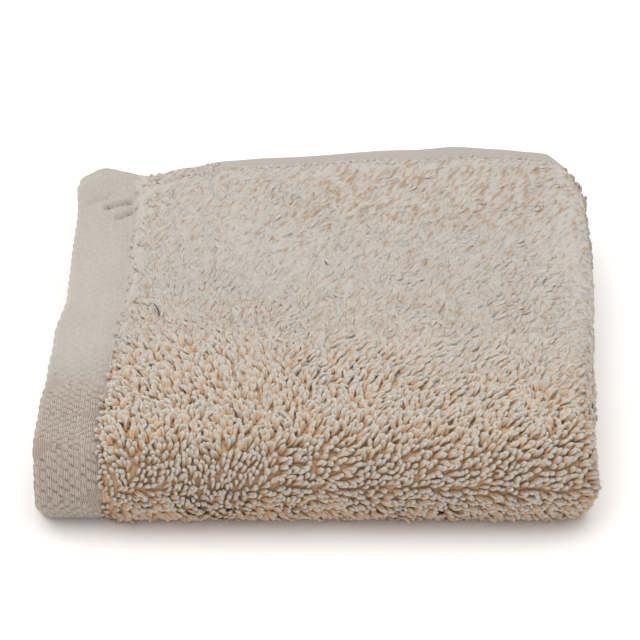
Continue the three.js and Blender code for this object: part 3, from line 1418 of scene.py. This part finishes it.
@dataclass
class LoopSet:
    """Loops as whole arrays, one entry for each loop."""

    across: np.ndarray
    along: np.ndarray
    lean: np.ndarray
    curl: np.ndarray
    length: np.ndarray
    bent_low: np.ndarray
    bent_high: np.ndarray
    twist: np.ndarray
    width: np.ndarray
    radius: np.ndarray
    tone: np.ndarray

    def count(self) -> int:
        """Number of loops."""
        return len(self.across)


@dataclass
class Pile:
    """The looped pile of one face of the cloth, made of bent and closed tubes of soft yarn.

    Its angles are in degrees and its spreads are standard deviations. A ripple is the size of a
    smooth random change, and aside is how far the loops by the border lean away from it.
    """

    cloth: FoldedCloth
    finish: CottonFinish
    column_pitch: float = 1.7
    row_pitch: float = 1.95
    jitter: float = 0.38
    loop_width: float = 0.37
    yarn_radius: float = 0.59
    root_spread: float = 0.3
    rooted: float = 0.35
    lean_spread: float = 17.0
    curl_spread: float = 24.0
    twist_spread: float = 42.0
    crease_twist: float = 72.0
    whorl_across: float = 68.5
    whorl_along: float = 108.5
    whorl_reach: float = 6.5
    row_wave: float = 0.4
    lean_ripple: float = 14.0
    aside: float = 20.0
    aside_in_front: float = 60.0
    aside_on_top: float = 70.0
    aside_reach: float = 2.4
    tidy_in_crease: float = 0.5
    untidy_below: float = 2.4
    length_spread: float = 0.1
    length_ripple: float = 0.06
    root_bend_spread: float = 8.0
    tip_bend_spread: float = 11.0
    tip_bend_ripple: float = 5.0
    bend_at_right: tuple[float, float] = (6.0, 14.0)
    bend_by_border: float = 8.0
    width_spread: float = 0.16
    radius_spread: float = 0.08
    tone_spread: float = 0.2
    crowded: float = 1.12
    crease_reach: float = 6.0
    over_hem: float = 5.0
    pressed_until: tuple[float, float] = (105.0, 128.0)
    loosening: tuple[float, float] = (80.0, 125.0)
    root_thick: float = 0.84
    tip_thicker: float = 0.22
    fine: LoopShape = LoopShape(rises=(0.2, 0.58, 0.88), spreads=(0.7, 0.95, 0.88), sides=5)
    plain: LoopShape = LoopShape(rises=(0.34, 0.84), spreads=(0.8, 0.95), sides=4)
    rough: LoopShape = LoopShape(rises=(0.5,), spreads=(0.9,), sides=4)

    def lean_field(self, across: np.ndarray, along: np.ndarray) -> np.ndarray:
        """Lean of the pile at each place, as a vector across and along.

        It is the mean of the combed places, weighted by a bell of their distance, with the whorl's
        outward fan and each parting's push away from its line added.
        """
        total = np.zeros((len(across), 2))
        weights = np.full(len(across), 0.02)
        total[:, 1] -= 0.02
        for spot in COMBED:
            distance = np.hypot(across - spot.across, along - spot.along) / spot.reach
            weight = spot.strength * np.exp(-distance * distance)
            angle = math.radians(spot.lean)
            total[:, 0] += weight * math.sin(angle)
            total[:, 1] -= weight * math.cos(angle)
            weights += weight
        field_ = total / weights[:, None]
        out = np.stack([across - self.whorl_across, along - self.whorl_along], axis=-1)
        distance = np.linalg.norm(out, axis=-1, keepdims=True)
        fan = 0.5 * np.exp(-((distance / self.whorl_reach) ** 2))
        field_ = field_ * np.maximum(1 - fan, 0.15) + fan * out / np.maximum(distance, 0.5)
        for line in PARTINGS:
            away = (along - line.along) / line.reach
            inside = ease(line.start - 4, line.start + 2, across)
            inside = inside * (1 - ease(line.stop - 2, line.stop + 4, across))
            push = line.strength * np.sign(away) * np.exp(-np.abs(away)) * inside
            field_[:, 1] += push
        return field_

    @staticmethod
    def ripples(
        across: np.ndarray, along: np.ndarray, random: np.random.Generator, length: float
    ) -> np.ndarray:
        """Smooth random field of about unit size: the sum of eight waves in random directions."""
        total = np.zeros_like(across)
        waves = 8
        for _ in range(waves):
            angle, phase = random.uniform(0, 2 * math.pi, 2)
            turns = 2 * math.pi / (length * random.uniform(0.7, 1.5))
            run = across * math.cos(angle) + along * math.sin(angle)
            total += np.sin(run * turns + phase)
        return total / math.sqrt(waves / 2)

    @staticmethod
    def spaced(stops: tuple, pitch: float, bend: tuple, stretch: float) -> np.ndarray:
        """Places a pitch apart on the folded cloth, closer on the flat one where it is stretched.

        Args:
            stops: first and last place on the flat cloth.
            pitch: distance between two places on the folded cloth.
            bend: start and end of the bend on the flat cloth.
            stretch: length of the bent face for each length of the flat cloth.

        Returns:
            The places on the flat cloth.
        """
        flat = np.linspace(*stops, 600)
        longer = np.where((flat > bend[0]) & (flat < bend[1]), stretch, 1.0)
        run = np.concatenate([[0.0], np.cumsum(np.diff(flat) * longer[1:])])
        return np.interp(np.arange(0.0, run[-1], pitch), run, flat)

    @staticmethod
    def varied(spread: float, count: int, random: np.random.Generator) -> np.ndarray:
        """Factors that scatter round one by a spread."""
        return 1 + spread * random.standard_normal(count)

    def beside_border(self, across: np.ndarray) -> np.ndarray:
        """Share of the narrow stretch beside the woven border."""
        return 1 - ease(self.cloth.border + 1, self.cloth.border + 6, across)

    def at_right(self, across: np.ndarray) -> np.ndarray:
        """Share of the first fold, where the pile is turned over."""
        bend = self.cloth.straight_across
        return ease(bend - 10, bend + 2, across)

    def scattered(
        self, across: tuple, along: tuple, random: np.random.Generator, open_up: float
    ) -> tuple[np.ndarray, ...]:
        """Set roots in staggered rows, which are wavy and closer together round both bends.

        Args:
            across: first and last place across.
            along: first and last row.
            random: source of the jitter.
            open_up: factor on the pitch of the columns and rows.

        Returns:
            The places across and along, and the share of the front crease that each had in its row.
        """
        cloth = self.cloth
        side = (cloth.straight_across, cloth.across - cloth.straight_across)
        front = (cloth.straight_along, cloth.along - cloth.straight_along)
        side_stretch = (cloth.pair_radius + 1.5) / cloth.pair_radius
        front_stretch = self.crowded * (cloth.stack_radius + cloth.pair_radius + 1.0)
        front_stretch = front_stretch / cloth.stack_radius
        columns = self.spaced(across, self.column_pitch * open_up, side, side_stretch)
        rows = self.spaced(along, self.row_pitch * open_up, front, front_stretch)
        u, v = np.meshgrid(columns, rows)
        u = u + (np.arange(len(rows)) % 2 * self.column_pitch * open_up / 2)[:, None]
        u, v = u.ravel(), v.ravel()
        creased = np.exp(-(((v - cloth.crease_along) / self.crease_reach) ** 2))
        v = v + self.row_wave * (np.sin(u / 9.0) + 0.7 * np.sin(u / 5.3 + 1.0))
        u = u + random.normal(0, self.jitter, len(u))
        v = v + random.normal(0, self.jitter, len(v)) * (0.85 - 0.6 * creased)
        over_hem = (1 - ease(38.0, 54.0, u)) * (1 - ease(cloth.hem, 30.0, v))
        return u, v - self.over_hem * over_hem, creased

    def leans(
        self,
        u: np.ndarray,
        v: np.ndarray,
        creased: np.ndarray,
        field_: np.ndarray,
        random: np.random.Generator,
    ) -> np.ndarray:
        """Lean of each loop in radians: the field's, scattered, and aside beside the border."""
        lean = np.arctan2(field_[:, 0], -field_[:, 1])
        lean = lean + np.radians(self.lean_ripple) * self.ripples(u, v, random, 14.0)
        aside = self.aside + self.aside_in_front * ease(139.0, 146.0, v)
        aside = aside - self.aside_on_top * (1 - ease(*self.pressed_until, v))
        fades = np.exp(-((u - self.cloth.border) / self.aside_reach))
        lean = lean - np.radians(aside) * fades
        below = ease(151.0, 156.0, v)
        looser = 1 - self.tidy_in_crease * creased + self.untidy_below * below
        spread_out = self.lean_spread * looser
        return lean + np.radians(spread_out) * random.standard_normal(len(u))

    def lengths(self, u: np.ndarray, v: np.ndarray, random: np.random.Generator) -> np.ndarray:
        """Length of each loop: the table's, less at the hems, at the right and by the border."""
        cloth = self.cloth
        length = PILE_MAP.state("length", u, v)
        length = length * self.varied(self.length_spread, len(u), random)
        length = length * (1 + self.length_ripple * self.ripples(u, v, random, 16.0))
        beside_hem = ease(cloth.hem + 0.5, cloth.hem + 6.0, np.minimum(v, cloth.along - v))
        length = length * (0.6 + 0.4 * beside_hem)
        shorter = 0.5 - 0.4 * ease(*self.loosening, v)
        length = length * (1 - shorter * self.at_right(u))
        pressed = 1 - ease(*self.pressed_until, v)
        return length * (1 - (0.3 + 0.15 * pressed) * self.beside_border(u))

    def bends(
        self, u: np.ndarray, v: np.ndarray, strength: np.ndarray, random: np.random.Generator
    ) -> tuple[np.ndarray, np.ndarray]:
        """How far each loop is bent down at its root and at its tip, in degrees.

        Args:
            u: place across.
            v: place along.
            strength: length of the lean field there.
            random: source of the scatter, which is less in the matted pile.

        Returns:
            The bend at the root and the bend at the tip.
        """
        at_right = self.at_right(u)
        pressed = 1 - ease(*self.pressed_until, v)
        loose = 0.45 + 0.55 * ease(85.0, 125.0, v)
        low = PILE_MAP.state("rising", u, v)
        low = low + self.root_bend_spread * loose * random.standard_normal(len(u))
        low = low + self.bend_at_right[0] * at_right * (1 - ease(80.0, 120.0, v))
        low = low + self.bend_by_border * pressed * self.beside_border(u)
        high = PILE_MAP.state("bent", u, v) * (0.75 + 0.25 * np.clip(strength, 0, 1.3))
        high = high + self.bend_at_right[1] * at_right
        high = high + self.tip_bend_spread * loose * random.standard_normal(len(u))
        return low, high + self.tip_bend_ripple * loose * self.ripples(u, v, random, 11.0)

    def sown(
        self, across: tuple, along: tuple, random: np.random.Generator, open_up: float = 1.0
    ) -> LoopSet:
        """Set loops in rows over a rectangle of the flat cloth.

        Args:
            across: first and last place across.
            along: first and last row.
            random: source of the jitter.
            open_up: factor on the pitch of the columns and rows.

        Returns:
            The loops, leaning as the field says.
        """
        u, v, creased = self.scattered(across, along, random, open_up)
        field_ = self.lean_field(u, v)
        lean = self.leans(u, v, creased, field_, random)
        length = self.lengths(u, v, random)
        low, high = self.bends(u, v, np.linalg.norm(field_, axis=-1), random)
        for tuft in TUFTS:
            distance = np.hypot(u - tuft.across, v - tuft.along) / tuft.reach
            share = np.exp(-distance * distance)
            lean = lean + share * (math.radians(tuft.lean) - lean)
            length = length * (1 + (tuft.longer - 1) * share)
            high = high * (1 - 0.45 * share)
        turned = random.standard_normal(len(u)) * (0.3 + 0.7 * ease(*self.loosening, v))
        twist = self.twist_spread * (1 - 0.75 * creased) * turned
        thicker = open_up**0.7
        return LoopSet(
            across=u,
            along=v,
            lean=lean,
            curl=np.radians(random.normal(0, self.curl_spread, len(u))),
            length=length,
            bent_low=np.radians(low),
            bent_high=np.radians(high),
            twist=np.radians(twist + self.crease_twist * creased**2),
            width=self.loop_width * thicker * self.varied(self.width_spread, len(u), random),
            radius=self.yarn_radius * thicker * self.varied(self.radius_spread, len(u), random),
            tone=np.clip(0.5 + self.tone_spread * random.standard_normal(len(u)), 0, 1),
        )

    def standing_frames(self, loops: LoopSet, face: Face) -> tuple[np.ndarray, np.ndarray]:
        """Where the loops stand on the folded cloth.

        Returns:
            The roots in metres, and for each loop three unit vectors: across and along the cloth,
            and out of it.
        """
        cloth = self.cloth
        u, v = loops.across, loops.along
        trough = cloth.crease(u, v) if face is Face.OUTER else 0.0
        ground = PILE_MAP.ground(cloth, u, v) if face is Face.OUTER else cloth.ground_half
        over = face.value * (ground - self.rooted - 0.5 * trough)
        root = cloth.placed(u, v, over)
        out = unit(cloth.placed(u, v, over + face.value * 0.1) - root)
        ways = [cloth.placed(u + 0.2, v, over) - root, cloth.placed(u, v + 0.2, over) - root]
        ways = [unit(way - np.sum(way * out, -1, keepdims=True) * out) for way in ways]
        return root, np.stack([*ways, out], axis=1)

    def yarn(self, loops: LoopSet, shape: LoopShape, face: Face) -> MeshData:
        """Turn loops into closed tubes.

        A loop's spine starts near upright, bends over by an even growth of its angle and curls
        sideways by an even growth of its heading. The spine is the running sum of its headings. The
        yarn goes up one side of the spine and down the other. Each ring stands square to the yarn.

        Args:
            loops: where the loops stand and how they lean.
            shape: how many rings and sides a loop has.
            face: the face of the cloth that they stand on.

        Returns:
            One mesh with all of the loops.
        """
        rise, spread = shape.path(self.root_spread)
        joints = 8
        share = np.linspace(0, 1, joints + 1)[None, :]
        bent = loops.bent_low[:, None] + (loops.bent_high - loops.bent_low)[:, None] * share
        way = loops.lean[:, None] + loops.curl[:, None] * share
        flat = np.sin(bent)
        heading = np.stack([flat * np.sin(way), -flat * np.cos(way), np.cos(bent)], axis=-1)
        steps = (heading[:, 1:] + heading[:, :-1]) / (2 * joints)
        spine = np.concatenate([np.zeros_like(steps[:, :1]), np.cumsum(steps, axis=1)], axis=1)
        near = np.maximum(0, 1 - np.abs(rise[:, None] * joints - np.arange(joints + 1)))
        spine = np.einsum("sk,nkc->nsc", near, spine) * loops.length[:, None, None]
        axis = unit(np.einsum("sk,nkc->nsc", near, heading))
        way = loops.lean[:, None] + loops.curl[:, None] * rise[None, :]
        beside = np.stack([np.cos(way), np.sin(way), np.zeros_like(way)], axis=-1)
        twist = loops.twist[:, None, None]
        sideways = np.cos(twist) * beside + np.sin(twist) * np.cross(axis, beside)
        line = spine + (loops.width[:, None] * spread)[..., None] * sideways
        ahead = unit(np.gradient(line, axis=1))
        square = np.cross(axis, sideways)
        square = unit(square - np.sum(square * ahead, -1, keepdims=True) * ahead)
        place = (loops.across, loops.along)
        pressed = PILE_MAP.state("thick", *place)[:, None, None, None]
        thick = loops.radius[:, None] * (self.root_thick + self.tip_thicker * rise[1:-1])
        third = np.cross(ahead, square)
        local = tubes(line, square, third, thick[..., None, None], shape.sides, pressed)
        root, frames = self.standing_frames(loops, face)
        points = root[:, None, :] + np.einsum("npc,ncd->npd", local, frames) * MM
        points[..., 2] = np.maximum(points[..., 2], self.cloth.off_floor * MM)
        tip = np.concatenate([np.repeat(rise[1:-1], shape.sides), [0.0, 0.0]])
        # The colour ramp runs from painted shade at the root to a painted highlight at the tip, and
        # the gap share places painted shade in the matted pile's gaps
        pale, most = (PILE_MAP.state(name, *place)[:, None] for name in ("pale", "tip"))
        each = points.shape[1]
        values = {
            "root_to_tip": (pale + (most - pale) * tip[None, :]).ravel(),
            "tone": np.repeat(loops.tone, each),
            "gap_share": np.repeat(PILE_MAP.gaps(*place), each),
            "cloth_out": np.repeat(frames[:, 2], each, axis=0),
        }
        return tube_mesh(points, shape.rings, shape.sides, values)

    def between_layers(self, random: np.random.Generator) -> MeshData:
        """The first rows of pile on the hidden faces, which show between the layers' edges."""
        cloth = self.cloth
        near = cloth.hem + 1.2
        far = cloth.along - near
        bend = cloth.straight_across
        stretches = (
            (Face.INNER, cloth.border + 2, bend),
            (Face.INNER, cloth.across - bend, 280.0),
            (Face.OUTER, cloth.across - bend + 4, 280.0),
        )
        meshes = []
        for face, start, stop in stretches:
            for rows in ((near, near + 3.5), (far - 3.5, far)):
                loops = self.sown((start, stop), rows, random, open_up=1.2)
                loops.lean = np.where(loops.along < cloth.along / 2, 0.0, math.pi)
                loops.lean = loops.lean + random.normal(0, 0.5, loops.count())
                loops.bent_high = np.full(loops.count(), math.radians(118.0))
                meshes.append(self.yarn(loops, self.plain, face).faced_outwards())
        return joined(meshes)

    def build(self) -> list[bpy.types.Object]:
        """Make every stretch of the pile."""
        cloth = self.cloth
        material = self.finish.build()
        wide = (cloth.border + 0.4, cloth.straight_across + 10.5)
        side = cloth.straight_across - 3.0
        under = cloth.straight_along + math.pi * cloth.stack_radius
        last = cloth.along - cloth.hem - 1.2
        stretches = {
            PileArea.BACK: (wide, (cloth.hem + 1.0, 54.0), 0.82, self.plain),
            PileArea.TOP: (wide, (54.0, 94.0), 0.84, self.plain),
            PileArea.FORE: (wide, (94.0, 131.0), 0.9, self.fine),
            PileArea.FRONT: (wide, (131.0, under), 0.87, self.fine),
            PileArea.UNDERSIDE: ((wide[0], side), (under, last), 1.25, self.rough),
            PileArea.LOWER_SIDE: ((side, wide[1]), (under, last), 0.9, self.plain),
        }
        pieces = []
        for number, (area, stretch) in enumerate(stretches.items()):
            across, along, open_up, shape = stretch
            random = np.random.default_rng(SEED + number)
            loops = self.sown(across, along, random, open_up=open_up)
            data = self.yarn(loops, shape, Face.OUTER)
            pieces.append(data.to_object(area.value, material))
        between = self.between_layers(np.random.default_rng(SEED + len(stretches)))
        pieces.append(between.to_object("pile_between_layers", material))
        return pieces


def joined(parts: list[MeshData]) -> MeshData:
    """Put several meshes into one, with their faces renumbered."""
    starts = np.cumsum([0] + [len(part.vertices) for part in parts])
    return MeshData(
        vertices=np.concatenate([part.vertices for part in parts]),
        quads=np.concatenate([p.quads + s for p, s in zip(parts, starts)]),
        triangles=np.concatenate([p.triangles + s for p, s in zip(parts, starts)]),
        values={k: np.concatenate([p.values[k] for p in parts]) for k in parts[0].values},
    )


@dataclass
class HemStitches:
    """A row of lock stitches along each side hem, on both faces of the cloth."""

    cloth: FoldedCloth
    finish: CottonFinish
    pitch: float = 3.0
    stitch: float = 2.5
    from_side: float = 5.4
    first: float = 1.5
    sunk: float = 0.25
    bow: float = 0.34
    radius: float = 0.15
    samples: int = 7
    sides: int = 5

    def row(self, along: float, face: Face) -> MeshData:
        """One row: each stitch is a bow that dips into the cloth at both ends."""
        cloth = self.cloth
        start = np.arange(self.first, cloth.across - self.first - self.stitch, self.pitch)
        share = np.linspace(0, 1, self.samples)
        u = start[:, None] + share[None, :] * self.stitch
        v = np.full_like(u, along)
        bow = cloth.hem_half - self.sunk + self.bow * np.sin(share * math.pi)[None, :]
        over = face.value * np.broadcast_to(bow, u.shape)
        middle = cloth.placed(u, v, over)
        ahead = unit(np.gradient(middle, axis=1))
        out = unit(cloth.placed(u, v, over + face.value * 0.05) - middle)
        out = unit(out - np.sum(out * ahead, -1, keepdims=True) * ahead)
        points = tubes(middle, out, np.cross(ahead, out), self.radius * MM, self.sides)
        points[..., 2] = np.maximum(points[..., 2], cloth.off_floor * MM)
        return tube_mesh(points, self.samples - 2, self.sides)

    def build(self) -> bpy.types.Object:
        """Make the four rows as one piece."""
        rows = (self.from_side, self.cloth.along - self.from_side)
        data = joined([self.row(along, face) for along in rows for face in Face])
        return data.to_object("hem_stitches", self.finish.build())


@dataclass
class StrayFibre:
    """A short dark fibre caught on top of the loops."""

    cloth: FoldedCloth
    across: float = 27.5
    along: float = 76.0
    to_across: float = 30.5
    to_along: float = 83.0
    over: float = 4.2
    radius: float = 0.2
    samples: int = 12
    sides: int = 6

    def build(self) -> bpy.types.Object:
        """Make the fibre: a thin tube that tapers at both ends and bends a little sideways."""
        share = np.linspace(0, 1, self.samples)[None, :]
        bend = 0.5 * np.sin(share * math.pi)
        u = self.across + (self.to_across - self.across) * share + bend
        v = self.along + (self.to_along - self.along) * share
        middle = self.cloth.placed(u, v, self.over + 0.2 * np.sin(share * 5.0))
        ahead = unit(np.gradient(middle, axis=1))
        side = unit(np.cross(ahead, np.array([0.0, 0.0, 1.0])))
        out = np.cross(side, ahead)
        thick = self.radius * MM * np.sin(share[:, 1:-1] * math.pi) ** 0.5
        points = tubes(middle, side, out, thick[..., None, None], self.sides)
        data = tube_mesh(points, self.samples - 2, self.sides)
        finish = PlainFinish(name="dark_fibre", base=srgb(64, 50, 46), sheen=0.0)
        return data.to_object("stray_fibre", finish.build())


class LightKind(Enum):
    """The softboxes round the cloth."""

    OVERHEAD = "overhead_softbox"
    FILL = "fill_softbox"


@dataclass(frozen=True)
class Softbox:
    """A square area light: where it hangs, what it points at, its side and its power."""

    kind: LightKind
    place: tuple[float, float, float]
    side: float
    watts: float


@dataclass
class Studio:
    """The pale floor, the soft light and the camera."""

    softboxes: tuple[Softbox, ...] = (
        Softbox(LightKind.OVERHEAD, place=(-0.2, 0.3, 1.2), side=2.0, watts=12.8),
        Softbox(LightKind.FILL, place=(-0.5, -1.3, 0.9), side=1.0, watts=1.7),
    )
    floor_half: float = 4.0
    # Tinted a little warm, so that in the cloth's shadow the floor shows painted warm light, as if
    # bounced off the cloth; where lit it stays white
    floor_colour: tuple[float, float, float, float] = (1.0, 0.985, 0.975, 1.0)
    surroundings: float = 0.86
    elevation: float = 36.0
    distance: float = 1.7
    lens: float = 330.0
    aim_right: float = 0.0009
    aim_up: float = 0.0064
    aim_in_fold: tuple[float, float, float] = (76.0, 63.0, 12.0)

    def floor(self) -> None:
        """A plain pale floor under the cloth."""
        half = self.floor_half
        corners = [(-half, -half, 0), (half, -half, 0), (half, half, 0), (-half, half, 0)]
        mesh = bpy.data.meshes.new("floor")
        mesh.from_pydata(corners, [], [(0, 1, 2, 3)])
        material = bpy.data.materials.new("pale_floor")
        material.use_nodes = True
        shader = material.node_tree.nodes["Principled BSDF"]
        shader.inputs["Base Color"].default_value = self.floor_colour
        shader.inputs["Roughness"].default_value = 0.9
        shader.inputs["Specular IOR Level"].default_value = 0.1
        mesh.materials.append(material)
        linked("floor", mesh)

    def light(self, box: Softbox) -> None:
        """Hang one softbox, pointed at the cloth."""
        lamp = bpy.data.lights.new(box.kind.value, "AREA")
        lamp.shape = "SQUARE"
        lamp.size = box.side
        lamp.energy = box.watts
        holder = linked(box.kind.value, lamp)
        holder.location = box.place
        holder.rotation_euler = (-Vector(box.place)).to_track_quat("-Z", "Y").to_euler()

    def camera(self, cloth: FoldedCloth) -> None:
        """Look at the cloth from the front, a third of the way up, through a long lens."""
        tilt = math.radians(self.elevation)
        back = Vector((0.0, -math.cos(tilt), math.sin(tilt)))
        up = Vector((0.0, math.sin(tilt), math.cos(tilt)))
        aim = Vector((np.array(self.aim_in_fold) + cloth.to_frame()) * MM)
        aim = aim + Vector((self.aim_right, 0.0, 0.0)) + up * self.aim_up
        lens = bpy.data.cameras.new("camera")
        lens.lens = self.lens
        lens.sensor_width = 36.0
        lens.clip_end = 20.0
        camera = linked("camera", lens)
        camera.location = aim + back * self.distance
        camera.rotation_euler = (-back).to_track_quat("-Z", "Y").to_euler()
        bpy.context.scene.camera = camera

    def surround(self) -> None:
        """Even white light from all round."""
        world = bpy.data.worlds.new("white_surroundings")
        world.use_nodes = True
        background = world.node_tree.nodes["Background"]
        background.inputs["Color"].default_value = (1.0, 1.0, 1.0, 1.0)
        background.inputs["Strength"].default_value = self.surroundings
        bpy.context.scene.world = world

    def build(self, cloth: FoldedCloth) -> None:
        """Set up the whole studio."""
        bpy.context.scene.view_settings.view_transform = "Standard"
        self.floor()
        self.surround()
        for box in self.softboxes:
            self.light(box)
        self.camera(cloth)


def main() -> None:
    logging.basicConfig(level=logging.INFO, format="%(message)s")
    cloth = FoldedCloth()
    Studio().build(cloth)
    ground = GroundCloth(cloth, GroundFinish()).build()
    borders = WovenBorder(cloth, WovenFinish()).build()
    pile = Pile(cloth, LoopFinish()).build()
    stitches = HemStitches(cloth, PlainFinish()).build()
    fibre = StrayFibre(cloth).build()


if __name__ == "__main__":
    main()
